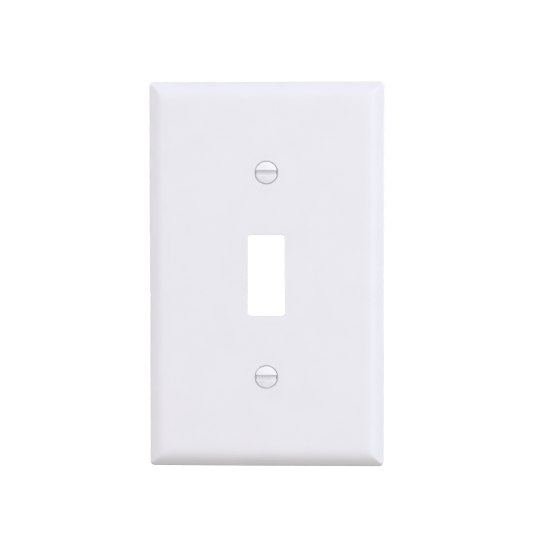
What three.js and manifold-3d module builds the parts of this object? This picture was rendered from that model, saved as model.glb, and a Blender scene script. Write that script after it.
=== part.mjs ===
// One-gang toggle wall plate: a hollow moulded cover and the two oval-head screws that hold it to
// the switch behind it. Millimetres. It is drawn lying on its back, X to the right, Y up the wall
// and Z out of the wall, and the whole group is then stood up: in the finished part +Z is up, the
// wall plane is y = 0 and the face looks towards -Y. The origin is the centre of the toggle window.
import * as THREE from "three";
import { mergeVertices } from "three/addons/utils/BufferGeometryUtils.js";
import Module from "manifold-3d";

const wasm = await Module();
wasm.setup();

// Plate outline and section
const PLATE_WIDTH = 69.85;
const PLATE_HEIGHT = 114.3;
const PLATE_DEPTH = 5.6; // wall plane to face
const CORNER_RADIUS = 1.4; // seen from the front
const SIDE_HEIGHT = 2.3; // straight edge, wall plane to the foot of the bevel
const SIDE_DRAFT = 0.12; // the edge leans in by this much
const EDGE_ROUNDING = 0.35; // cut back each way where the edge meets the bevel
const APEX_INSET = 3.75; // where the straight bevel would reach the face if it weren't blended
const SLOPE_INSET = 1.9; // the blend starts here on the bevel
const BEVEL_WIDTH = 5.6; // and ends here on the flat face

// Hollow back
const SIDE_THICKNESS = 2;
const FACE_THICKNESS = 2.2;
const HOLLOW_CORNER_RADIUS = 0.8;
const BEVEL_WALL_INSET = 4.2; // the hollow reaches full depth this far in from the edge
const SIDE_WALL_TOP = 1.4; // the hollow's sides are straight up to here

// Toggle window and the collar moulded round it
const WINDOW_WIDTH = 10.7;
const WINDOW_HEIGHT = 23.8;
const WINDOW_CORNER_RADIUS = 1;
const COLLAR_THICKNESS = 1.6;
const COLLAR_BACK = 1.9; // height of the collar's back edge above the wall plane

// Screw bosses and ribs, on the back of the face
const SCREW_SPACING = 60.325; // 2 3/8 in between the two screws
const BOSS_RADIUS = 5.2;
const BOSS_BACK = 1.2; // leaves room for the switch's mounting strap on the wall
const RIB_THICKNESS = 1.2;
const RIB_BACK = 2.2;
const RAIL_X = 4; // two upright ribs, this far each side of the middle
const CLEARANCE_RADIUS = 2.1;
const COUNTERSINK_RADIUS = 3.45;
const COUNTERSINK_SLOPE = Math.tan((41 * Math.PI) / 180); // 82 degree countersink

// Screw: 6-32 thread, 1/2 in long from the head's widest line to the point
const HEAD_RADIUS = 3.2;
const HEAD_LIFT = 0.1; // the head's cone ends this far above the face, clear of its countersink
const HEAD_BAND = 0.15;
const DOME_HEIGHT = 0.85;
const SLOT_WIDTH = 1.35;
const SLOT_DEPTH = 1.3;
const SCREW_LENGTH = 12.7;
const THREAD_PITCH = 25.4 / 32;
const THREAD_RADIUS = 1.7526;
const ROOT_RADIUS = 1.3;
const THREAD_TOP = 3; // above the wall plane, where the thread runs out into the plain neck
const NECK_RADIUS = 1.78;
const POINT_CHAMFER = 0.5;

// Smoothness
const BLEND_STEPS = 8;
const DOME_STEPS = 4;
const ROUND_STEPS = 40;
const THREAD_STEPS = 16; // round one turn
const CORNER_STEPS = 6;
const CUT_PAST = 1; // how far a cutting body runs past what it cuts

const plateMaterial = new THREE.MeshStandardMaterial({
  name: "white_plastic",
  color: 0xe9e8ee,
  roughness: 0.32,
  metalness: 0,
  flatShading: true,
});
const screwMaterial = new THREE.MeshStandardMaterial({
  name: "painted_screw",
  color: 0xeeeeee,
  roughness: 0.3,
  metalness: 0.1,
  flatShading: true,
});

// A closed geometry as a solid that can be joined and cut.
function solidOf(geometry) {
  const bare = geometry.clone();
  bare.deleteAttribute("normal");
  bare.deleteAttribute("uv");
  const merged = mergeVertices(bare);
  return new wasm.Manifold(
    new wasm.Mesh({
      numProp: 3,
      vertProperties: merged.getAttribute("position").array,
      triVerts: new Uint32Array(merged.index.array),
    }),
  );
}

function geometryOf(solid) {
  const { vertProperties, triVerts } = solid.getMesh();
  const geometry = new THREE.BufferGeometry();
  geometry.setAttribute("position", new THREE.BufferAttribute(vertProperties, 3));
  geometry.setIndex(new THREE.BufferAttribute(triVerts, 1));
  geometry.computeVertexNormals();
  return geometry;
}

const sumOf = (solids) => solids.reduce((sum, next) => sum.add(next));

// A solid block by its lowest and highest corners.
function block(low, high) {
  const size = high.clone().sub(low);
  const centre = low.clone().add(high).multiplyScalar(0.5);
  return solidOf(new THREE.BoxGeometry(...size).translate(...centre));
}

// A round solid about the Z axis, from its [radius, z] outline, which goes from low to high.
function turned(outline, steps) {
  const points = outline.map(([radius, z]) => new THREE.Vector2(radius, z));
  return solidOf(new THREE.LatheGeometry(points, steps).rotateX(Math.PI / 2));
}

// A prism with a rounded rectangular outline about the Z axis, between two heights.
function roundedPrism(width, height, radius, low, high) {
  const x = width / 2 - radius;
  const y = height / 2 - radius;
  const outline = new THREE.Shape();
  outline.absarc(x, y, radius, 0, Math.PI / 2);
  outline.absarc(-x, y, radius, Math.PI / 2, Math.PI);
  outline.absarc(-x, -y, radius, Math.PI, 1.5 * Math.PI);
  outline.absarc(x, -y, radius, 1.5 * Math.PI, 2 * Math.PI);
  const options = { depth: high - low, bevelEnabled: false, curveSegments: CORNER_STEPS };
  return solidOf(new THREE.ExtrudeGeometry(outline, options).translate(0, 0, low));
}

// The same section run across the plate and down it, and what the two have in common: its bevels
// meet in mitres at the corners. sideOf gives a section's right side for a half width.
function mitred(sideOf) {
  const bar = (half, length) => {
    const right = sideOf(half);
    const left = right.map((point) => new THREE.Vector2(-point.x, point.y)).reverse();
    const options = { depth: length, bevelEnabled: false };
    const section = new THREE.Shape([...right, ...left]);
    return new THREE.ExtrudeGeometry(section, options).translate(0, 0, -length / 2);
  };
  const upright = bar(PLATE_WIDTH / 2, PLATE_HEIGHT + 2 * CUT_PAST).rotateX(Math.PI / 2);
  const across = bar(PLATE_HEIGHT / 2, PLATE_WIDTH + 2 * CUT_PAST).rotateX(Math.PI / 2);
  return solidOf(upright).intersect(solidOf(across.rotateZ(Math.PI / 2)));
}

// Right side of the plate's section: edge, rounding, straight bevel, and the blend to the face.
function outerSide(half) {
  const rise = PLATE_DEPTH - SIDE_HEIGHT;
  const bevelAt = (inset) => SIDE_HEIGHT + (rise * inset) / APEX_INSET;
  const edgeX = half - SIDE_DRAFT;
  const apexX = half - APEX_INSET;
  const side = new THREE.Path();
  side.moveTo(half, 0);
  side.lineTo(edgeX, SIDE_HEIGHT - EDGE_ROUNDING);
  side.quadraticCurveTo(
    edgeX,
    bevelAt(SIDE_DRAFT),
    edgeX - EDGE_ROUNDING,
    bevelAt(SIDE_DRAFT + EDGE_ROUNDING),
  );
  side.lineTo(half - SLOPE_INSET, bevelAt(SLOPE_INSET));
  side.quadraticCurveTo(apexX, PLATE_DEPTH, half - BEVEL_WIDTH, PLATE_DEPTH);
  return side.getPoints(BLEND_STEPS);
}

// Right side of the hollow's section, which leaves the walls and the face about 2 mm thick.
function hollowSide(half) {
  return [
    new THREE.Vector2(half - SIDE_THICKNESS, -CUT_PAST),
    new THREE.Vector2(half - SIDE_THICKNESS, SIDE_WALL_TOP),
    new THREE.Vector2(half - BEVEL_WALL_INSET, PLATE_DEPTH - FACE_THICKNESS),
  ];
}

// The hollow behind the face, without the room that collar, bosses and ribs take up.
function hollow() {
  const high = PLATE_DEPTH - FACE_THICKNESS / 2;
  const room = mitred(hollowSide).intersect(
    roundedPrism(
      PLATE_WIDTH - 2 * SIDE_THICKNESS,
      PLATE_HEIGHT - 2 * SIDE_THICKNESS,
      HOLLOW_CORNER_RADIUS,
      -CUT_PAST,
      high,
    ),
  );
  const collar = roundedPrism(
    WINDOW_WIDTH + 2 * COLLAR_THICKNESS,
    WINDOW_HEIGHT + 2 * COLLAR_THICKNESS,
    WINDOW_CORNER_RADIUS + COLLAR_THICKNESS,
    COLLAR_BACK,
    high,
  );
  const bossOutline = [[0, BOSS_BACK], [BOSS_RADIUS, BOSS_BACK], [BOSS_RADIUS, high], [0, high]];
  const boss = turned(bossOutline, ROUND_STEPS);
  const bosses = [-1, 1].map((side) => boss.translate([0, (side * SCREW_SPACING) / 2, 0]));
  const rib = (x, y, width, height) =>
    block(
      new THREE.Vector3(x - width / 2, y - height / 2, RIB_BACK),
      new THREE.Vector3(x + width / 2, y + height / 2, high),
    );
  const collarY = (WINDOW_HEIGHT + COLLAR_THICKNESS) / 2;
  const rails = [-RAIL_X, RAIL_X].map((x) => rib(x, 0, RIB_THICKNESS, PLATE_HEIGHT));
  const crossRibs = [-SCREW_SPACING / 2, -collarY, collarY, SCREW_SPACING / 2].map((y) =>
    rib(0, y, PLATE_WIDTH, RIB_THICKNESS),
  );
  return room.subtract(sumOf([collar, ...bosses, ...rails, ...crossRibs]));
}

function wallPlate() {
  const outline = roundedPrism(PLATE_WIDTH, PLATE_HEIGHT, CORNER_RADIUS, -CUT_PAST, PLATE_DEPTH + CUT_PAST);
  const window = roundedPrism(
    WINDOW_WIDTH,
    WINDOW_HEIGHT,
    WINDOW_CORNER_RADIUS,
    -CUT_PAST,
    PLATE_DEPTH + CUT_PAST,
  );
  const coneDepth = (COUNTERSINK_RADIUS - CLEARANCE_RADIUS) / COUNTERSINK_SLOPE;
  const screwHole = turned(
    [
      [0, -CUT_PAST],
      [CLEARANCE_RADIUS, -CUT_PAST],
      [CLEARANCE_RADIUS, PLATE_DEPTH - coneDepth],
      [COUNTERSINK_RADIUS, PLATE_DEPTH],
      [COUNTERSINK_RADIUS, PLATE_DEPTH + CUT_PAST],
      [0, PLATE_DEPTH + CUT_PAST],
    ],
    ROUND_STEPS,
  );
  const screwHoles = [-1, 1].map((side) => screwHole.translate([0, (side * SCREW_SPACING) / 2, 0]));
  const made = mitred(outerSide).intersect(outline).subtract(hollow());
  const mesh = new THREE.Mesh(geometryOf(made.subtract(sumOf([window, ...screwHoles]))), plateMaterial);
  mesh.name = "wall_plate";
  return mesh;
}

// A right-hand helix about the Z axis. Its frames stay radial and axial, so that a thread's section
// keeps its flanks in the plane of the axis.
class Helix extends THREE.Curve {
  constructor(radius, pitch, low, high) {
    super();
    Object.assign(this, { radius, pitch, low, high });
  }
  angleAt(t) {
    return (2 * Math.PI * (t * (this.high - this.low))) / this.pitch;
  }
  getPoint(t) {
    const angle = this.angleAt(t);
    const z = this.low + t * (this.high - this.low);
    return new THREE.Vector3(this.radius * Math.cos(angle), this.radius * Math.sin(angle), z);
  }
  computeFrenetFrames(steps) {
    const angles = Array.from({ length: steps + 1 }, (_, i) => this.angleAt(i / steps));
    return {
      tangents: angles.map((angle) => new THREE.Vector3(-Math.sin(angle), Math.cos(angle), 0)),
      normals: angles.map((angle) => new THREE.Vector3(Math.cos(angle), Math.sin(angle), 0)),
      binormals: angles.map(() => new THREE.Vector3(0, 0, -1)),
    };
  }
}

// The thread's ridge, chamfered at the screw's point and buried in the plain neck at its other end.
function thread(pointZ) {
  const embed = ROOT_RADIUS / 6;
  const depth = THREAD_RADIUS - ROOT_RADIUS;
  const crestHalf = THREAD_PITCH / 16;
  const rootHalf = crestHalf + depth * Math.tan(Math.PI / 6);
  const section = new THREE.Shape([
    new THREE.Vector2(-embed, -rootHalf),
    new THREE.Vector2(0, -rootHalf),
    new THREE.Vector2(depth, -crestHalf),
    new THREE.Vector2(depth, crestHalf),
    new THREE.Vector2(0, rootHalf),
    new THREE.Vector2(-embed, rootHalf),
  ]);
  const low = pointZ - THREAD_PITCH;
  const turns = Math.ceil((THREAD_TOP - low) / THREAD_PITCH + 1);
  const extrudePath = new Helix(ROOT_RADIUS, THREAD_PITCH, low, low + turns * THREAD_PITCH);
  const options = { steps: turns * THREAD_STEPS, extrudePath };
  const ridge = solidOf(new THREE.ExtrudeGeometry(section, options));
  const pointRadius = THREAD_RADIUS - POINT_CHAMFER;
  const limits = [
    [0, pointZ],
    [pointRadius, pointZ],
    [2 * THREAD_RADIUS, pointZ + 2 * THREAD_RADIUS - pointRadius],
    [2 * THREAD_RADIUS, THREAD_TOP + THREAD_PITCH / 2],
    [0, THREAD_TOP + THREAD_PITCH / 2],
  ];
  return ridge.intersect(turned(limits, THREAD_STEPS));
}

// An oval-head screw along the Z axis, in its place in the plate.
function screwSolid() {
  const coneTop = PLATE_DEPTH + HEAD_LIFT;
  const bandTop = coneTop + HEAD_BAND;
  const domeTop = bandTop + DOME_HEIGHT;
  const pointZ = bandTop - SCREW_LENGTH;
  const neckTop = coneTop - (HEAD_RADIUS - NECK_RADIUS) / COUNTERSINK_SLOPE;
  const domeRadius = (HEAD_RADIUS ** 2 + DOME_HEIGHT ** 2) / (2 * DOME_HEIGHT);
  const domeAngle = Math.asin(HEAD_RADIUS / domeRadius);
  const dome = Array.from({ length: DOME_STEPS }, (_, i) => {
    const angle = domeAngle * (1 - i / DOME_STEPS);
    return [domeRadius * Math.sin(angle), domeTop - domeRadius * (1 - Math.cos(angle))];
  });
  const shank = turned(
    [
      [0, pointZ],
      [ROOT_RADIUS - POINT_CHAMFER / 4, pointZ],
      [ROOT_RADIUS, pointZ + POINT_CHAMFER / 4],
      [ROOT_RADIUS, THREAD_TOP],
      [NECK_RADIUS, THREAD_TOP + THREAD_PITCH / 2],
      [NECK_RADIUS, neckTop],
      [0, neckTop],
    ],
    THREAD_STEPS,
  );
  const headBack = neckTop - HEAD_BAND;
  const headOutline = [
    [0, headBack],
    [NECK_RADIUS, headBack],
    [NECK_RADIUS, neckTop],
    [HEAD_RADIUS, coneTop],
    ...dome,
    [0, domeTop],
  ];
  const slot = block(
    new THREE.Vector3(-2 * HEAD_RADIUS, -SLOT_WIDTH / 2, domeTop - SLOT_DEPTH),
    new THREE.Vector3(2 * HEAD_RADIUS, SLOT_WIDTH / 2, domeTop + CUT_PAST),
  );
  return sumOf([shank, thread(pointZ), turned(headOutline, ROUND_STEPS)]).subtract(slot);
}

// The two screws are the same piece, one in each hole.
function screws() {
  const geometry = geometryOf(screwSolid());
  return [["upper_screw", 1], ["lower_screw", -1]].map(([name, side]) => {
    const mesh = new THREE.Mesh(geometry, screwMaterial);
    mesh.name = name;
    mesh.position.y = (side * SCREW_SPACING) / 2;
    return mesh;
  });
}

const cover = new THREE.Group();
cover.add(wallPlate(), ...screws());
cover.rotation.x = Math.PI / 2;

export default cover;
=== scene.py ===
"""A white toggle wall plate and its two painted screws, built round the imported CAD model.

Lengths in the shape functions are millimetres: a section is a list of (inset or radius, height)
pairs, where height is measured out from the wall plane towards the room. Blender's units are
metres, with +Z up and the room on the -Y side.
"""

import math

import bmesh
import bpy
from mathutils import Matrix, Vector


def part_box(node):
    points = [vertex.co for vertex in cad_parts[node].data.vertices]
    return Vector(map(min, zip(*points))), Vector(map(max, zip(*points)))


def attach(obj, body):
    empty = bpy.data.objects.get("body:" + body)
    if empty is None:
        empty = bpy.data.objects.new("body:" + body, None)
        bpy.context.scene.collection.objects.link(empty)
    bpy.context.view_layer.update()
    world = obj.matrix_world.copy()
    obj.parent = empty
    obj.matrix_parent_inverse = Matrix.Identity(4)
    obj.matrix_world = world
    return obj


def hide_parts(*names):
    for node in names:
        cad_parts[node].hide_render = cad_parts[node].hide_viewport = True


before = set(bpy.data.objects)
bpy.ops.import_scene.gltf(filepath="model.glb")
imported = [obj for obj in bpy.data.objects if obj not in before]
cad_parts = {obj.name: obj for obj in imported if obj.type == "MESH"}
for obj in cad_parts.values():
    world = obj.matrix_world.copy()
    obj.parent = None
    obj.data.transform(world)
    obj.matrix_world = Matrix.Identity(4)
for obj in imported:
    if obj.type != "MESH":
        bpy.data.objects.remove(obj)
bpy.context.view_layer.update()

MM = 0.001

# What the CAD model says
PLATE_LOW, PLATE_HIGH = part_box("wall_plate")
HALF_WIDTH = (PLATE_HIGH.x - PLATE_LOW.x) / 2 / MM
HALF_HEIGHT = (PLATE_HIGH.z - PLATE_LOW.z) / 2 / MM
DEPTH = -PLATE_LOW.y / MM
SCREW_LOW, SCREW_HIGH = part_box("upper_screw")
SCREW_Z = (SCREW_LOW.z + SCREW_HIGH.z) / 2 / MM
HEAD_RADIUS = (SCREW_HIGH.z - SCREW_LOW.z) / 2 / MM
POINT_HEIGHT = -SCREW_HIGH.y / MM

# Plate section: a drafted edge, rounded over onto a bevel that eases into the face
CORNER_RADIUS = 1.4
MITRE_RADIUS = 0.45
MITRE_EASING = 0.3  # growth of the mitre's radius for each millimetre of inset
MITRE_EASING_START = 1.9
FOOT_ROUND = 0.12
BEVEL_START = 0.12
BEVEL_END = 6.8
BEVEL_STEP = 0.3
BEVEL_SLOPE = 44.25  # degrees, where neither the edge nor the face bends it
BLEND_MIDDLE = 3.9  # the inset where that slope has fallen by half
BLEND_SOFTNESS = 0.74
BLEND_TRIM = 1.0  # degrees taken off, so that the blend comes to an end on the face
EDGE_STEEPENING = 4.9  # degrees, over the inset in millimetres
EDGE_REACH = 1.6  # the inset where the edge stops steepening the bevel
FACE_MARGIN = 0.6
CORNER_STEPS = 12

# Hollow back
SIDE_THICKNESS = 2.0
SIDE_WALL_TOP = 1.4
BEVEL_WALL_INSET = 4.2
CEILING = DEPTH - 2.2
HOLLOW_CORNER_RADIUS = 0.8
WINDOW_HALF_WIDTH = 10.7 / 2
WINDOW_HALF_HEIGHT = 23.8 / 2
WINDOW_CORNER_RADIUS = 1.0
WINDOW_DRAFT = 0.03
WINDOW_FACE_ROUND = 0.3
WINDOW_BACK_ROUND = 0.2
COLLAR_THICKNESS = 1.6
COLLAR_BACK = 1.9
BOSS_RADIUS = 5.2
BOSS_BACK = 1.2
BOSS_STEPS = 64
RIB_THICKNESS = 1.2
RIB_BACK = 2.2
RAIL_X = 4.0
INNER_ROUNDING = 0.25
EJECTOR_RADIUS = 2.0
EJECTOR_MARK_DEPTH = 0.12
EJECTOR_X = 22
EJECTOR_ROWS = (-42, -21.5, 0, 21.5, 42)
EJECTOR_STEPS = 48

# Screw holes and screws
CLEARANCE_RADIUS = 2.1
COUNTERSINK_RADIUS = 3.45
COUNTERSINK_ANGLE = 82
COUNTERSINK_SLOPE = math.tan(math.radians(COUNTERSINK_ANGLE / 2))
COUNTERSINK_WALL = 0.15
HOLE_FACE_ROUND = 0.08
HOLE_BACK_ROUND = 0.2
HEAD_LIFT = 0.1
HEAD_BAND = 0.15
HEAD_ROUND = 0.04
DOME_HEIGHT = 0.85
DOME_STEPS = 14
DOME_START_GAP = 0.6  # degrees from the band's rim to the dome's first point
DOME_END = 88  # degrees, where a small flat closes the dome
SLOT_WIDTH = 1.35
SLOT_DEPTH = 1.3
SLOT_CORNER = 0.12
SLOT_RIM_ROUND = 0.06
THREAD_PITCH = 25.4 / 32
THREAD_RADIUS = 1.7526
THREAD_FLANK_ANGLE = 30
CREST_SHARE = 1 / 8  # the flat crest's share of a pitch
CREST_ROUND = 0.03
ROOT_RADIUS = 1.3
NECK_RADIUS = 1.78
THREAD_TOP = 3.0
THREAD_RUNOUT = THREAD_PITCH / 2
POINT_RADIUS = ROOT_RADIUS - 0.1
CONE_TOP = DEPTH + HEAD_LIFT
HEAD_TOP = CONE_TOP + HEAD_BAND + DOME_HEIGHT
NECK_TOP = CONE_TOP - (HEAD_RADIUS - NECK_RADIUS) / COUNTERSINK_SLOPE
NECK_INTO_HEAD = 0.1
CONE_INTO_NECK = 0.2
ROUND_STEPS = 96
THREAD_STEPS = 64

# Edges sharper than these, in degrees, stay crisp
PLATE_CREASE = 32
SCREW_CREASE = 40

# Cutting and joining
CUT_PAST = 0.5  # how far a cutting body runs past what it cuts
CUT_FLARE = 0.05
RIM_SWEEP = 80  # degrees; a little short of level, so that a cutter isn't tangent to what it cuts
CLEAR_OF_FACE = 0.004
SLIVER = 0.002
ROUND_MIDDLE = 0.3  # how far in from a square corner its rounding's middle lies, in radii

# Camera and surroundings: lens and sensor in millimetres, the rest in metres and degrees
LENS = 126.07
SENSOR_WIDTH = 36
CAMERA_AZIMUTH = 2.18
CAMERA_ELEVATION = 2.543
CAMERA_DISTANCE = 0.5558
CAMERA_TARGET = (-0.00015, 0, 0.00228)
CAMERA_CLIP_START = 0.01
ROOM_LOW = (0.020, 0.020, 0.020, 1)
ROOM_LOW_END = 0.2
ROOM_HIGH = (0.593, 0.557, 0.556, 1)
ROOM_HIGH_START = 0.75
WHITE = (1, 1, 1, 1)
BACKDROP_STRENGTH = 1.01
FLOOR_RADIUS = 3.0
FLOOR_GLOW = 0.6

# Nearly all of a noise texture's values lie between these
NOISE_LOW, NOISE_HIGH = 0.3, 0.7


def at(x, height, z):
    """A point from millimetres across, out from the wall, and up."""
    return Vector((x, -height, z))


def new_object(name, mesh):
    thing = bpy.data.objects.new(name, mesh)
    bpy.context.scene.collection.objects.link(thing)
    return thing


def loft(name, rings):
    """A closed solid through rings of equally many points, from the lowest ring to the highest."""
    bm = bmesh.new()
    rows = [[bm.verts.new(point) for point in ring] for ring in rings]
    count = len(rows[0])
    for low, high in zip(rows, rows[1:]):
        for i in range(count):
            j = (i + 1) % count
            bm.faces.new((low[i], low[j], high[j], high[i]))
    bm.faces.new(rows[0])
    bm.faces.new(rows[-1])
    bmesh.ops.recalc_face_normals(bm, faces=bm.faces)
    return object_from(name, bm)


def object_from(name, bm):
    mesh = bpy.data.meshes.new(name)
    bm.to_mesh(mesh)
    bm.free()
    return new_object(name, mesh)


def scaled_to_metres(thing):
    thing.data.transform(Matrix.Scale(MM, 4))
    return thing


def finished_in(material, thing):
    thing.data.materials.append(material)
    return thing


def bake_modifiers(thing):
    graph = bpy.context.evaluated_depsgraph_get()
    mesh = bpy.data.meshes.new_from_object(thing.evaluated_get(graph))
    thing.modifiers.clear()
    thing.data = mesh


def combine(target, tools, operation="DIFFERENCE"):
    """Joins tools to target, or cuts target with them; a cut surface takes its tool's finish."""
    for tool in tools:
        modifier = target.modifiers.new("combine", "BOOLEAN")
        modifier.operation = operation
        modifier.solver = "EXACT"
        modifier.material_mode = "TRANSFER"
        modifier.object = tool
        bake_modifiers(target)
        bpy.data.objects.remove(tool)
    merge_slivers(target)
    return target


def merge_slivers(thing):
    """Closes up the edges that a cut leaves too short to see."""
    bm = bmesh.new()
    bm.from_mesh(thing.data)
    bmesh.ops.remove_doubles(bm, verts=bm.verts, dist=SLIVER)
    bmesh.ops.dissolve_degenerate(bm, edges=bm.edges, dist=SLIVER)
    bm.to_mesh(thing.data)
    bm.free()


def round_edges(thing, width, segments, angle):
    modifier = thing.modifiers.new("round", "BEVEL")
    modifier.width = width
    modifier.segments = segments
    modifier.limit_method = "ANGLE"
    modifier.angle_limit = math.radians(angle)
    bake_modifiers(thing)


def rounded_ring(half_width, half_height, radius, height):
    """A rounded rectangle round the Y axis, in CORNER_STEPS steps round each corner."""
    points = []
    for corner, (side_x, side_z) in enumerate(((1, 1), (-1, 1), (-1, -1), (1, -1))):
        for step in range(CORNER_STEPS + 1):
            angle = math.pi / 2 * (corner + step / CORNER_STEPS)
            x = side_x * (half_width - radius) + radius * math.cos(angle)
            z = side_z * (half_height - radius) + radius * math.sin(angle)
            points.append(at(x, height, z))
    return points


def circle(radius, height, centre_z=0.0, steps=ROUND_STEPS):
    angles = [2 * math.pi * i / steps for i in range(steps)]
    return [at(radius * math.cos(a), height, centre_z + radius * math.sin(a)) for a in angles]


def arc(centre, radius, start, end, steps):
    """Points on an arc in a section, both ends included; angles in degrees from the first axis."""
    points = []
    for step in range(steps + 1):
        angle = math.radians(start + (end - start) * step / steps)
        points.append((centre[0] + radius * math.cos(angle), centre[1] + radius * math.sin(angle)))
    return points


# ---- the plate ----


def bevel_slope(inset):
    """Steepness in degrees: steeper beside the edge, then nearly even, then easing to nothing."""
    eased = BEVEL_SLOPE / (1 + math.exp((inset - BLEND_MIDDLE) / BLEND_SOFTNESS)) - BLEND_TRIM
    steepened = EDGE_STEEPENING * (1 / inset - 1 / EDGE_REACH)
    return max(0.0, eased) + max(0.0, steepened)


def bevel_insets():
    """From the edge to the flat face, in steps that are short where the bevel is rounded over."""
    insets = [BEVEL_START]
    while insets[-1] < BEVEL_END:
        insets.append(insets[-1] + min(BEVEL_STEP, insets[-1] / 3))
    return insets


def plate_section():
    """(inset, height) from the wall plane, up the edge, over the bevel and onto the face."""
    insets = bevel_insets()
    bevel = [(insets[-1], DEPTH)]
    for inset, next_inset in zip(insets[-2::-1], insets[:0:-1]):
        slopes = [math.radians(bevel_slope(i)) for i in (inset, next_inset)]
        rise = sum(math.tan(slope) for slope in slopes) / 2
        bevel.append((inset, bevel[-1][1] - rise * (next_inset - inset)))
    middle = FOOT_ROUND * ROUND_MIDDLE
    edge = [(FOOT_ROUND, 0.0), (middle, middle), (0.0, FOOT_ROUND)]
    return edge + bevel[::-1] + [(insets[-1] + FACE_MARGIN, DEPTH)]


def corner_radius(inset):
    """Corners tighten from the outline to the mitre, then ease as the blend flattens."""
    tight = CORNER_RADIUS - inset
    eased = MITRE_RADIUS + MITRE_EASING * max(0.0, inset - MITRE_EASING_START)
    return max(tight, eased)


def plate_blank():
    return loft(
        "wall_plate_cover",
        [
            rounded_ring(HALF_WIDTH - inset, HALF_HEIGHT - inset, corner_radius(inset), height)
            for inset, height in plate_section()
        ],
    )


def prism(name, half_width, half_height, radius, low, high):
    return loft(name, [rounded_ring(half_width, half_height, radius, h) for h in (low, high)])


def block(name, x, z, width, height, low, high):
    corners = [(-1, -1), (1, -1), (1, 1), (-1, 1)]
    return loft(
        name,
        [[at(x + a * width / 2, h, z + b * height / 2) for a, b in corners] for h in (low, high)],
    )


def hollow():
    """The room behind the face: what is cut away between the walls, ribs, bosses and collar."""
    above = CEILING + CUT_PAST
    below = -0.4
    flare = arc((SIDE_THICKNESS - INNER_ROUNDING, INNER_ROUNDING), INNER_ROUNDING, -75, 0, 4)
    section = [(SIDE_THICKNESS - 3 * INNER_ROUNDING, below)] + flare
    section += [(SIDE_THICKNESS, SIDE_WALL_TOP), (BEVEL_WALL_INSET, CEILING)]
    room = loft(
        "room",
        [
            rounded_ring(HALF_WIDTH - inset, HALF_HEIGHT - inset, HOLLOW_CORNER_RADIUS, height)
            for inset, height in section
        ],
    )
    collar = prism(
        "collar",
        WINDOW_HALF_WIDTH + COLLAR_THICKNESS,
        WINDOW_HALF_HEIGHT + COLLAR_THICKNESS,
        WINDOW_CORNER_RADIUS + COLLAR_THICKNESS,
        COLLAR_BACK,
        above,
    )
    bosses = [
        loft("boss", [circle(BOSS_RADIUS, h, side * SCREW_Z, BOSS_STEPS) for h in (BOSS_BACK, above)])
        for side in (-1, 1)
    ]
    rails = [
        block("rail", x, 0, RIB_THICKNESS, 2 * HALF_HEIGHT, RIB_BACK, above)
        for x in (-RAIL_X, RAIL_X)
    ]
    collar_z = WINDOW_HALF_HEIGHT + COLLAR_THICKNESS / 2
    cross_ribs = [
        block("cross_rib", 0, z, 2 * HALF_WIDTH, RIB_THICKNESS, RIB_BACK, above)
        for z in (-SCREW_Z, -collar_z, collar_z, SCREW_Z)
    ]
    combine(room, [collar] + bosses + rails + cross_ribs)
    round_edges(room, INNER_ROUNDING, segments=3, angle=40)
    return room


def ejector_marks():
    """Shallow round witness marks that the mould's ejector pins leave on the back of the face."""
    marks = []
    heights = (CEILING - CUT_PAST, CEILING + EJECTOR_MARK_DEPTH)
    for x in (-EJECTOR_X, EJECTOR_X):
        for z in EJECTOR_ROWS:
            mark = loft("mark", [circle(EJECTOR_RADIUS, h, steps=EJECTOR_STEPS) for h in heights])
            mark.data.transform(Matrix.Translation(at(x, 0, z)))
            marks.append(mark)
    return marks


def rim_arc(inner, round_radius, height, outwards, steps):
    """The rounding of a cut's rim at height, for a section that is inner at its narrowest.

    It runs from the back towards the room, and outwards is 1 at the face and -1 at the back.
    """
    centre = (inner + round_radius, height - outwards * round_radius)
    points = arc(centre, round_radius, 180, 180 - outwards * RIM_SWEEP, steps)
    return points[::outwards]


def window_cutter():
    """The toggle window, its edges flared so that cutting with it leaves them rounded."""
    behind = WINDOW_DRAFT + WINDOW_BACK_ROUND + CUT_FLARE
    section = [(behind, COLLAR_BACK - CUT_PAST)]
    section += rim_arc(WINDOW_DRAFT, WINDOW_BACK_ROUND, COLLAR_BACK, -1, 5)
    section += rim_arc(0, WINDOW_FACE_ROUND, DEPTH, 1, 5)
    section += [(WINDOW_FACE_ROUND + CUT_FLARE, DEPTH + CUT_PAST)]
    rings = [
        rounded_ring(
            WINDOW_HALF_WIDTH + grow,
            WINDOW_HALF_HEIGHT + grow,
            WINDOW_CORNER_RADIUS + grow,
            height,
        )
        for grow, height in section
    ]
    return loft("window", rings)


def screw_hole_cutter(centre_z):
    """A clearance hole whose countersink ends in a short straight lip under the face."""
    cone_depth = COUNTERSINK_WALL + (COUNTERSINK_RADIUS - CLEARANCE_RADIUS) / COUNTERSINK_SLOPE
    rim_middle = HOLE_FACE_ROUND * ROUND_MIDDLE
    rim_radius = COUNTERSINK_RADIUS + HOLE_FACE_ROUND
    section = [(CLEARANCE_RADIUS + HOLE_BACK_ROUND + CUT_FLARE, BOSS_BACK - CUT_PAST)]
    section += rim_arc(CLEARANCE_RADIUS, HOLE_BACK_ROUND, BOSS_BACK, -1, 4)
    section += [
        (CLEARANCE_RADIUS, DEPTH - cone_depth),
        (COUNTERSINK_RADIUS, DEPTH - COUNTERSINK_WALL),
        (COUNTERSINK_RADIUS, DEPTH - HOLE_FACE_ROUND),
        (COUNTERSINK_RADIUS + rim_middle, DEPTH - rim_middle),
        (rim_radius, DEPTH + CLEAR_OF_FACE),
        (rim_radius, DEPTH + CUT_PAST),
    ]
    return loft("screw_hole", [circle(r, h, centre_z) for r, h in section])


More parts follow.
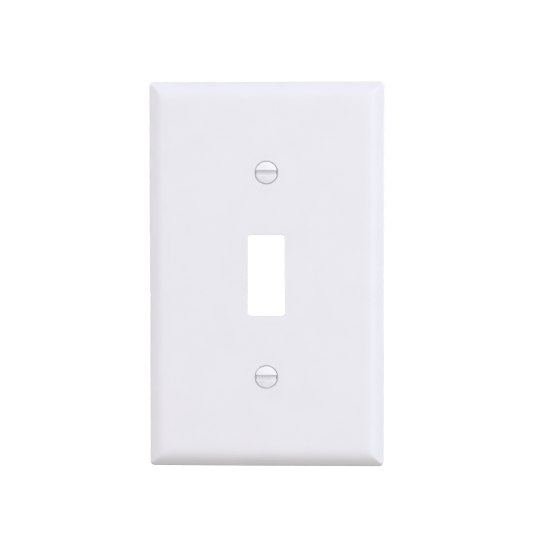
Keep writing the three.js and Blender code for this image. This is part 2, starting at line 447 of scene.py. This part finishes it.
def wall_plate():
    plate = finished_in(FACE, plate_blank())
    back = [hollow()] + ejector_marks()
    front = [window_cutter()] + [screw_hole_cutter(side * SCREW_Z) for side in (-1, 1)]
    combine(plate, [finished_in(BACK, tool) for tool in back])
    return combine(plate, [finished_in(FACE, tool) for tool in front])


# ---- the screws ----


def thread_rows():
    """(share of a pitch, radius) of the thread's outline, from one crest to the next."""
    crest = CREST_SHARE / 2
    flank = (THREAD_RADIUS - ROOT_RADIUS) * math.tan(math.radians(THREAD_FLANK_ANGLE)) / THREAD_PITCH
    rising = [
        (crest - CREST_ROUND / 3, THREAD_RADIUS),
        (crest + CREST_ROUND / 2, THREAD_RADIUS - CREST_ROUND),
        (crest + flank / 2, (THREAD_RADIUS + ROOT_RADIUS) / 2),
        (crest + flank, ROOT_RADIUS + CREST_ROUND),
        (0.5 - CREST_ROUND, ROOT_RADIUS),
    ]
    falling = [(1 - share, radius) for share, radius in reversed(rising)]
    return [(0.0, THREAD_RADIUS)] + rising + falling


def shank():
    """The threaded shank: one overlong spiral surface, cut square at its point and in its neck."""
    rows = thread_rows()
    neck_cut = NECK_TOP + NECK_INTO_HEAD
    start = POINT_HEIGHT - 1.5 * THREAD_PITCH
    turns = math.ceil((neck_cut - start) / THREAD_PITCH) + 2
    bm = bmesh.new()

    def vertex(column, row):
        turn, k = divmod(row, len(rows))
        share, radius = rows[k]
        height = start + THREAD_PITCH * (turn + share + column / THREAD_STEPS)
        radius = min(radius, POINT_RADIUS + max(0.0, height - POINT_HEIGHT))
        rise = min(1.0, max(0.0, (height - THREAD_TOP) / THREAD_RUNOUT))
        radius = max(radius, ROOT_RADIUS + (NECK_RADIUS - ROOT_RADIUS) * rise)
        angle = 2 * math.pi * column / THREAD_STEPS
        return bm.verts.new(at(radius * math.sin(angle), height, radius * math.cos(angle)))

    last_row = turns * len(rows)
    grid = [[vertex(i, j) for j in range(last_row + 1)] for i in range(THREAD_STEPS)]
    for i in range(THREAD_STEPS):
        wraps = i == THREAD_STEPS - 1
        step = len(rows) if wraps else 0
        beside = grid[0] if wraps else grid[i + 1]
        for j in range(last_row - step):
            bm.faces.new((grid[i][j], beside[j + step], beside[j + step + 1], grid[i][j + 1]))
    for height, outward in ((POINT_HEIGHT, 1), (neck_cut, -1)):
        cut = bmesh.ops.bisect_plane(
            bm,
            geom=bm.verts[:] + bm.edges[:] + bm.faces[:],
            plane_co=at(0, height, 0),
            plane_no=(0, outward, 0),
            clear_outer=True,
        )
        edges = [e for e in cut["geom_cut"] if isinstance(e, bmesh.types.BMEdge)]
        bmesh.ops.contextual_create(bm, geom=edges)
    bmesh.ops.recalc_face_normals(bm, faces=bm.faces)
    return object_from("shank", bm)


def head():
    """The oval head: a cone, a narrow band and a dome, with the rims between them rounded."""
    band_top = CONE_TOP + HEAD_BAND
    dome_radius = (HEAD_RADIUS**2 + DOME_HEIGHT**2) / (2 * DOME_HEIGHT)
    dome_start = 90 - math.degrees(math.asin(HEAD_RADIUS / dome_radius))
    section = [
        (NECK_RADIUS - CONE_INTO_NECK, NECK_TOP - CONE_INTO_NECK / COUNTERSINK_SLOPE),
        (HEAD_RADIUS - HEAD_ROUND, CONE_TOP - HEAD_ROUND / COUNTERSINK_SLOPE),
        (HEAD_RADIUS, CONE_TOP + HEAD_ROUND / 2),
        (HEAD_RADIUS, band_top - HEAD_ROUND),
    ]
    centre = (0.0, HEAD_TOP - dome_radius)
    section += arc(centre, dome_radius, dome_start + DOME_START_GAP, DOME_END, DOME_STEPS)
    return loft("head", [circle(r, h) for r, h in section])


def slot_cutter():
    """A bar across the head whose section has a flat floor and rounded lower corners."""
    half = SLOT_WIDTH / 2
    corner_height = HEAD_TOP - SLOT_DEPTH + SLOT_CORNER
    section = [(-half, HEAD_TOP + CUT_PAST)]
    section += arc((-half + SLOT_CORNER, corner_height), SLOT_CORNER, 180, 270, 4)
    section += arc((half - SLOT_CORNER, corner_height), SLOT_CORNER, 270, 360, 4)
    section += [(half, HEAD_TOP + CUT_PAST)]
    ends = (-2 * HEAD_RADIUS, 2 * HEAD_RADIUS)
    return loft("slot", [[at(x, height, z) for z, height in section] for x in ends])


def soften_slot(screw):
    """Rounds the two long rims where the slot's walls meet the dome, as paint does."""
    sharp = math.radians(50)
    near = 0.02
    short_of_ends = 0.9 * HEAD_RADIUS
    half_way_down = HEAD_TOP - SLOT_DEPTH / 2
    bm = bmesh.new()
    bm.from_mesh(screw.data)
    rims = []
    for edge in bm.edges:
        if len(edge.link_faces) != 2 or edge.calc_face_angle(0) < sharp:
            continue
        middle = (edge.verts[0].co + edge.verts[1].co) / 2
        on_wall = abs(abs(middle.z) - SLOT_WIDTH / 2) < near
        if on_wall and -middle.y > half_way_down and abs(middle.x) < short_of_ends:
            rims.append(edge)
    bmesh.ops.bevel(bm, geom=rims, offset=SLOT_RIM_ROUND, segments=3, affect="EDGES", profile=0.5)
    bm.to_mesh(screw.data)
    bm.free()


def screw_at(name, centre_z):
    screw = combine(finished_in(PAINT, head()), [finished_in(STEEL, shank())], "UNION")
    # the slot's cut faces take the darker slot enamel: thinner paint plus painted shade in the recess
    combine(screw, [finished_in(SLOT_PAINT_AND_SHADE, slot_cutter())])
    soften_slot(screw)
    merge_slivers(screw)
    screw.name = name
    screw.data.transform(Matrix.Translation(at(0, 0, centre_z)))
    return screw


# ---- finishes ----


class Finish:
    """A material built up from noise in the object's own coordinates."""

    def __init__(self, name, roughness):
        self.material = bpy.data.materials.new(name)
        self.material.use_nodes = True
        self.nodes = self.material.node_tree.nodes
        self.links = self.material.node_tree.links
        self.shader = self.nodes["Principled BSDF"]
        self.shader.inputs["Roughness"].default_value = roughness
        self.place = self.nodes.new("ShaderNodeTexCoord").outputs["Object"]
        self.surface = None

    def noise(self, grain_mm, detail, stretch=(1, 1, 1)):
        """Noise whose blobs are about grain_mm across."""
        mapping = self.nodes.new("ShaderNodeMapping")
        mapping.inputs["Scale"].default_value = [s / (grain_mm * MM) for s in stretch]
        self.links.new(self.place, mapping.inputs["Vector"])
        texture = self.nodes.new("ShaderNodeTexNoise")
        texture.inputs["Scale"].default_value = 1.0
        texture.inputs["Detail"].default_value = detail
        self.links.new(mapping.outputs["Vector"], texture.inputs["Vector"])
        return texture.outputs["Fac"]

    def colour(self, value, dark, light):
        """Base colour that runs from dark to light over the middle of the noise."""
        node = self.nodes.new("ShaderNodeValToRGB")
        ends = ((NOISE_LOW, dark), (NOISE_HIGH, light))
        for element, (position, colour) in zip(node.color_ramp.elements, ends):
            element.position = position
            element.color = (*colour, 1.0)
        self.links.new(value, node.inputs["Fac"])
        self.links.new(node.outputs["Color"], self.shader.inputs["Base Color"])

    def vary_roughness(self, value, smooth, rough):
        """Roughness that runs from smooth to rough over the middle of the noise."""
        node = self.nodes.new("ShaderNodeMapRange")
        node.inputs["From Min"].default_value = NOISE_LOW
        node.inputs["From Max"].default_value = NOISE_HIGH
        node.inputs["To Min"].default_value = smooth
        node.inputs["To Max"].default_value = rough
        self.links.new(value, node.inputs["Value"])
        self.links.new(node.outputs["Result"], self.shader.inputs["Roughness"])

    def bump(self, value, height_mm):
        """Relief height_mm deep, on top of any bump already there."""
        node = self.nodes.new("ShaderNodeBump")
        node.inputs["Strength"].default_value = 1.0
        node.inputs["Distance"].default_value = height_mm * MM
        self.links.new(value, node.inputs["Height"])
        if self.surface:
            self.links.new(self.surface, node.inputs["Normal"])
        self.surface = node.outputs["Normal"]
        self.links.new(self.surface, self.shader.inputs["Normal"])


def face_plastic():
    """Smooth white plastic: a faint orange peel, with slow flow marks in colour and gloss."""
    finish = Finish("white_plastic_face", 0.38)
    finish.colour(finish.noise(9, 3), (0.819, 0.812, 0.834), (0.831, 0.824, 0.846))
    finish.vary_roughness(finish.noise(1.4, 4), 0.36, 0.4)
    finish.bump(finish.noise(2.2, 2), 0.0025)
    finish.bump(finish.noise(0.16, 2), 0.0006)
    return finish.material


def back_plastic():
    """The same plastic from the unpolished half of the mould: matt, with a fine spark texture."""
    finish = Finish("white_plastic_back", 0.5)
    finish.colour(finish.noise(6, 4), (0.79, 0.782, 0.8), (0.83, 0.823, 0.84))
    finish.vary_roughness(finish.noise(0.9, 4), 0.42, 0.58)
    finish.bump(finish.noise(0.3, 4), 0.012)
    finish.bump(finish.noise(5, 2), 0.02)
    return finish.material


def enamel():
    """White paint on the screw heads: satin, a little thicker and thinner from place to place."""
    finish = Finish("white_enamel", 0.44)
    finish.colour(finish.noise(1.2, 3), (0.83, 0.828, 0.84), (0.87, 0.868, 0.88))
    finish.vary_roughness(finish.noise(0.5, 3), 0.4, 0.5)
    finish.bump(finish.noise(0.8, 2), 0.008)
    finish.bump(finish.noise(0.12, 2), 0.0012)
    return finish.material


def slot_enamel_and_shade():
    """The thin, dull coat of the same paint at the bottom of the slot, coloured darker still as
    painted shade in the slot.
    """
    finish = Finish("white_enamel_with_painted_slot_shade", 0.55)
    # painted shade: the slot's walls and floor are coloured darker than the head to stand in for the
    # shadow in the recess, as well as for the thinner paint
    finish.colour(finish.noise(0.9, 3), (0.755, 0.76, 0.77), (0.795, 0.8, 0.81))
    finish.vary_roughness(finish.noise(0.4, 3), 0.5, 0.62)
    finish.bump(finish.noise(0.35, 3), 0.01)
    return finish.material


def zinc():
    """Zinc-plated steel below the paint: bright, with fine scratches that run along the thread."""
    finish = Finish("zinc_steel", 0.3)
    finish.shader.inputs["Metallic"].default_value = 1.0
    finish.colour(finish.noise(0.9, 4), (0.5, 0.5, 0.5), (0.68, 0.685, 0.7))
    finish.vary_roughness(finish.noise(0.4, 4), 0.22, 0.42)
    finish.bump(finish.noise(0.08, 3, (1, 6, 1)), 0.003)
    finish.bump(finish.noise(0.5, 2), 0.006)
    return finish.material


def smooth_shading(thing, angle):
    """Soft shading that stays crisp at edges sharper than angle, led by the large flat faces."""
    thing.data.shade_smooth()
    thing.data.set_sharp_from_angle(angle=math.radians(angle))
    modifier = thing.modifiers.new("weighted", "WEIGHTED_NORMAL")
    modifier.keep_sharp = True
    bake_modifiers(thing)


# ---- camera, light and floor ----


def direction(azimuth, elevation):
    """From the object outwards; azimuth 0 is towards the room, 90 to its right."""
    a = math.radians(azimuth)
    e = math.radians(elevation)
    return Vector((math.sin(a) * math.cos(e), -math.cos(a) * math.cos(e), math.sin(e)))


def aim(thing, towards):
    way = Vector(towards) - thing.location
    thing.rotation_euler = way.to_track_quat("-Z", "Y").to_euler()


def camera():
    """A long lens just above the middle of the plate and a little to its right."""
    data = bpy.data.cameras.new("camera")
    data.lens = LENS
    data.sensor_width = SENSOR_WIDTH
    data.clip_start = CAMERA_CLIP_START
    thing = new_object("camera", data)
    thing.location = direction(CAMERA_AZIMUTH, CAMERA_ELEVATION) * CAMERA_DISTANCE
    aim(thing, CAMERA_TARGET)
    bpy.context.scene.camera = thing


def softbox(name, azimuth, elevation, distance, width, height, colour):
    """A rectangular light whose colour carries its strength, per channel, in watts."""
    data = bpy.data.lights.new(name, "AREA")
    data.shape = "RECTANGLE"
    data.size = width
    data.size_y = height
    data.energy = max(colour)
    data.color = [c / max(colour) for c in colour]
    thing = new_object(name, data)
    thing.location = direction(azimuth, elevation) * distance
    aim(thing, (0, 0, 0))


LIGHTS = {
    # name: (azimuth, elevation, distance, width, height) in degrees and metres, then strength
    "front": ((0, 12, 1.0, 0.9, 0.6), (0.88, 0.60, 0.10)),
    "key": ((38, 34, 0.8, 0.35, 0.35), (1.45, 1.52, 1.80)),
    "left_key": ((-55, 38, 0.8, 0.3, 0.3), (0.40, 0.77, 0.89)),
    "right_front": ((55, 0, 0.8, 0.5, 0.6), (2.03, 2.25, 2.86)),
    "left": ((-80, 8, 0.7, 0.35, 0.6), (0.63, 0.54, 0.51)),
    "left_front": ((-50, 5, 0.8, 0.5, 0.6), (1.47, 1.40, 1.69)),
    "low_bounce": ((0, -70, 0.7, 0.6, 0.35), (1.14, 1.06, 1.08)),
    "low_left_bounce": ((-55, -35, 0.8, 0.35, 0.35), (0.33, 0.40, 0.39)),
    "low_right_bounce": ((55, -35, 0.8, 0.35, 0.35), (0.47, 0.51, 0.17)),
    "behind": ((180, 12, 0.9, 0.8, 0.5), (3.2, 3.2, 3.25)),
    "behind_left": ((-125, 25, 0.8, 0.4, 0.6), (1.0, 1.0, 1.0)),
    "behind_right": ((115, 10, 0.8, 0.4, 0.6), (1.27, 1.30, 1.24)),
}


def surroundings():
    """A white studio: the camera sees plain white, and the object a room darker towards the floor."""
    world = bpy.data.worlds.new("studio")
    world.use_nodes = True
    nodes = world.node_tree.nodes
    links = world.node_tree.links
    nodes.clear()
    place = nodes.new("ShaderNodeTexCoord")
    split = nodes.new("ShaderNodeSeparateXYZ")
    upwards = nodes.new("ShaderNodeMapRange")
    upwards.inputs["From Min"].default_value = -1
    ramp = nodes.new("ShaderNodeValToRGB")
    low, high = ramp.color_ramp.elements
    low.position = ROOM_LOW_END
    low.color = ROOM_LOW
    high.position = ROOM_HIGH_START
    high.color = ROOM_HIGH
    links.new(place.outputs["Generated"], split.inputs["Vector"])
    links.new(split.outputs["Z"], upwards.inputs["Value"])
    links.new(upwards.outputs["Result"], ramp.inputs["Fac"])
    room = nodes.new("ShaderNodeBackground")
    links.new(ramp.outputs["Color"], room.inputs["Color"])
    white = nodes.new("ShaderNodeBackground")
    white.inputs["Color"].default_value = WHITE
    white.inputs["Strength"].default_value = BACKDROP_STRENGTH
    rays = nodes.new("ShaderNodeLightPath")
    mix = nodes.new("ShaderNodeMixShader")
    links.new(rays.outputs["Is Camera Ray"], mix.inputs["Fac"])
    links.new(room.outputs["Background"], mix.inputs[1])
    links.new(white.outputs["Background"], mix.inputs[2])
    output = nodes.new("ShaderNodeOutputWorld")
    links.new(mix.outputs["Shader"], output.inputs["Surface"])
    bpy.context.scene.world = world


def floor():
    """A pale floor level with the plate's lower edge, which takes no part in lighting it."""
    bm = bmesh.new()
    bmesh.ops.create_circle(bm, cap_ends=True, segments=ROUND_STEPS, radius=FLOOR_RADIUS)
    bmesh.ops.translate(bm, verts=bm.verts, vec=(0, 0, -HALF_HEIGHT * MM))
    thing = object_from("floor", bm)
    finish = Finish("pale_floor", 0.9)
    finish.colour(finish.noise(300, 2), (0.88, 0.88, 0.88), (0.9, 0.9, 0.9))
    finish.shader.inputs["Emission Color"].default_value = WHITE
    finish.shader.inputs["Emission Strength"].default_value = FLOOR_GLOW
    finish.shader.inputs["Specular IOR Level"].default_value = 0.0
    thing.data.materials.append(finish.material)
    thing.visible_diffuse = False
    thing.visible_glossy = False
    thing.visible_shadow = False


FACE = face_plastic()
BACK = back_plastic()
PAINT = enamel()
SLOT_PAINT_AND_SHADE = slot_enamel_and_shade()
STEEL = zinc()

plate = scaled_to_metres(wall_plate())
smooth_shading(plate, PLATE_CREASE)
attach(plate, "plate")
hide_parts("wall_plate")
for end, side in (("upper", 1), ("lower", -1)):
    screw = scaled_to_metres(screw_at(f"{end}_oval_head_screw", side * SCREW_Z))
    smooth_shading(screw, SCREW_CREASE)
    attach(screw, f"{end}_screw")
    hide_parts(f"{end}_screw")

camera()
for name, (place, colour) in LIGHTS.items():
    softbox(name, *place, colour)
surroundings()
floor()
bpy.context.scene.view_settings.view_transform = "Standard"
